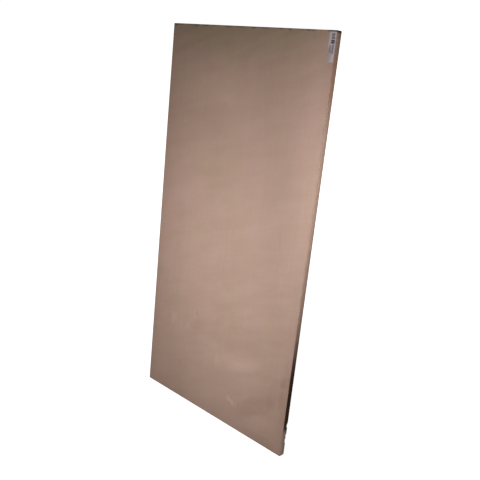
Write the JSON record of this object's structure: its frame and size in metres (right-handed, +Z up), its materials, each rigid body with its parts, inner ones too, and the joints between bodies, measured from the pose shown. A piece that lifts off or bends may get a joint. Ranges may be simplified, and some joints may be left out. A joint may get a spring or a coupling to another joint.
{
  "type": "plywood sheet",
  "caption": "Flat rectangular plywood sheet with sanded hardwood faces, cross-laid core plies and square sawn edges.",
  "frame": {"origin": "middle of the back face, which the sheet lies on", "axes": "+X along the sheet's length and the grain of its face veneers, +Y across its width, +Z up through the plies to the good face"},
  "size_m": [1.22, 0.61, 0.018],
  "materials": {
    "hardwood_plywood": "sanded, unfinished",
    "label_paper": "matt paper"
  },
  "bodies": {
    "root": {"plywood_sheet": "hardwood_plywood"}
  },
  "joints": []
}
